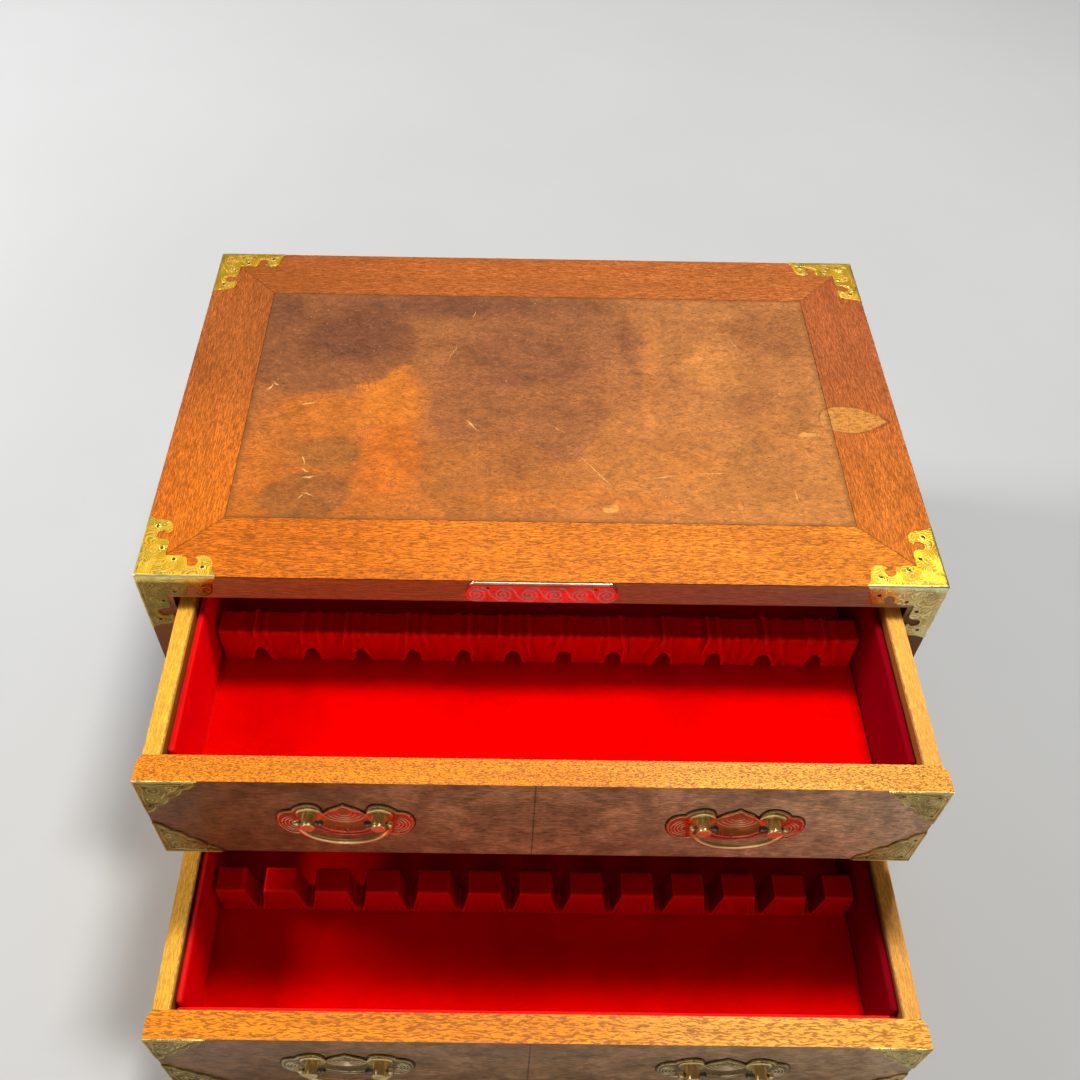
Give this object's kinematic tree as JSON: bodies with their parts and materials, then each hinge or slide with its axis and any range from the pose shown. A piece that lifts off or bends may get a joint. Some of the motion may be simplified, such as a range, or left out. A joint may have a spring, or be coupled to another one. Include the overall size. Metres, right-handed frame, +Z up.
{
  "type": "jewellery chest with drawers",
  "caption": "Brass-bound wooden chest with a burl top in a mitred border, velvet-lined racked drawers that slide out on bail pulls, and a felt base.",
  "frame": {"origin": "centre of the felt base's underside, on the surface that the chest stands on", "axes": "+Z up, drawers open towards -Y, +Y to the back, +X to the right as seen from the front"},
  "size_m": [0.4818, 0.5619, 0.2329],
  "materials": {
    "border_wood": "satin varnish over straight-grained open-pored wood",
    "burl_veneer": "worn satin varnish over mottled burl veneer",
    "front_burl": "polished dark burl veneer with lighter solid edges",
    "drawer_wood": "plain waxed golden wood",
    "plain_wood": "unpolished brown plywood",
    "velvet": "short-pile scarlet velvet",
    "felt": "dark brown wool felt",
    "brass": "engraved polished sheet brass, a little tarnished"
  },
  "bodies": {
    "case": {"top_frame_front": "border_wood", "top_frame_back": "border_wood", "top_frame_left": "border_wood", "top_frame_right": "border_wood", "top_panel": "burl_veneer", "case_side_right": "border_wood", "case_side_left": "border_wood", "case_bottom": "border_wood", "case_back": "plain_wood", "felt_base": "felt", "divider_rail": "border_wood", "runner_right": "drawer_wood", "runner_left": "drawer_wood", "corner_bottom_front_left": "brass", "corner_bottom_front_right": "brass", "corner_bottom_back_left": "brass", "corner_bottom_back_right": "brass", "corner_top_front_left": "brass", "corner_top_front_right": "brass", "corner_top_back_left": "brass", "corner_top_back_right": "brass", "front_plaque": "brass"},
    "top_drawer": {"top_drawer_front": "front_burl", "top_drawer_side_right": "drawer_wood", "top_drawer_side_left": "drawer_wood", "top_drawer_back": "drawer_wood", "top_drawer_bottom": "plain_wood", "top_drawer_floor_pad": "velvet", "top_drawer_lining_front": "velvet", "top_drawer_lining_right": "velvet", "top_drawer_lining_left": "velvet", "top_drawer_rack": "velvet", "top_drawer_corner_top_left": "brass", "top_drawer_corner_top_right": "brass", "top_drawer_corner_bottom_left": "brass", "top_drawer_corner_bottom_right": "brass", "top_drawer_pull_plate_left": "brass", "top_drawer_pull_plate_right": "brass"},
    "top_drawer_bail_left": {"top_drawer_bail_left": "brass"},
    "top_drawer_bail_right": {"top_drawer_bail_right": "brass"},
    "bottom_drawer": {"bottom_drawer_front": "front_burl", "bottom_drawer_side_right": "drawer_wood", "bottom_drawer_side_left": "drawer_wood", "bottom_drawer_back": "drawer_wood", "bottom_drawer_bottom": "plain_wood", "bottom_drawer_floor_pad": "velvet", "bottom_drawer_lining_front": "velvet", "bottom_drawer_lining_right": "velvet", "bottom_drawer_lining_left": "velvet", "bottom_drawer_rack": "velvet", "bottom_drawer_corner_top_left": "brass", "bottom_drawer_corner_top_right": "brass", "bottom_drawer_corner_bottom_left": "brass", "bottom_drawer_corner_bottom_right": "brass", "bottom_drawer_pull_plate_left": "brass", "bottom_drawer_pull_plate_right": "brass"},
    "bottom_drawer_bail_left": {"bottom_drawer_bail_left": "brass"},
    "bottom_drawer_bail_right": {"bottom_drawer_bail_right": "brass"}
  },
  "joints": [
    {"name": "top_drawer_slide", "type": "slide", "parent": "case", "child": "top_drawer", "axis": [0, -1, 0], "range_m": [-0.125, 0.115]},
    {"name": "top_drawer_bail_left_swing", "type": "hinge", "parent": "top_drawer", "child": "top_drawer_bail_left", "pos_m": [-0.1097, -0.2935, 0.1777], "axis": [-1, 0, 0], "range_deg": [-9, 180]},
    {"name": "top_drawer_bail_right_swing", "type": "hinge", "parent": "top_drawer", "child": "top_drawer_bail_right", "pos_m": [0.1097, -0.2935, 0.1777], "axis": [-1, 0, 0], "range_deg": [-9, 180]},
    {"name": "bottom_drawer_slide", "type": "slide", "parent": "case", "child": "bottom_drawer", "axis": [0, -1, 0], "range_m": [-0.227, 0.013]},
    {"name": "bottom_drawer_bail_left_swing", "type": "hinge", "parent": "bottom_drawer", "child": "bottom_drawer_bail_left", "pos_m": [-0.1097, -0.3955, 0.0702], "axis": [-1, 0, 0], "range_deg": [-9, 180]},
    {"name": "bottom_drawer_bail_right_swing", "type": "hinge", "parent": "bottom_drawer", "child": "bottom_drawer_bail_right", "pos_m": [0.1097, -0.3955, 0.0702], "axis": [-1, 0, 0], "range_deg": [-9, 180]}
  ]
}
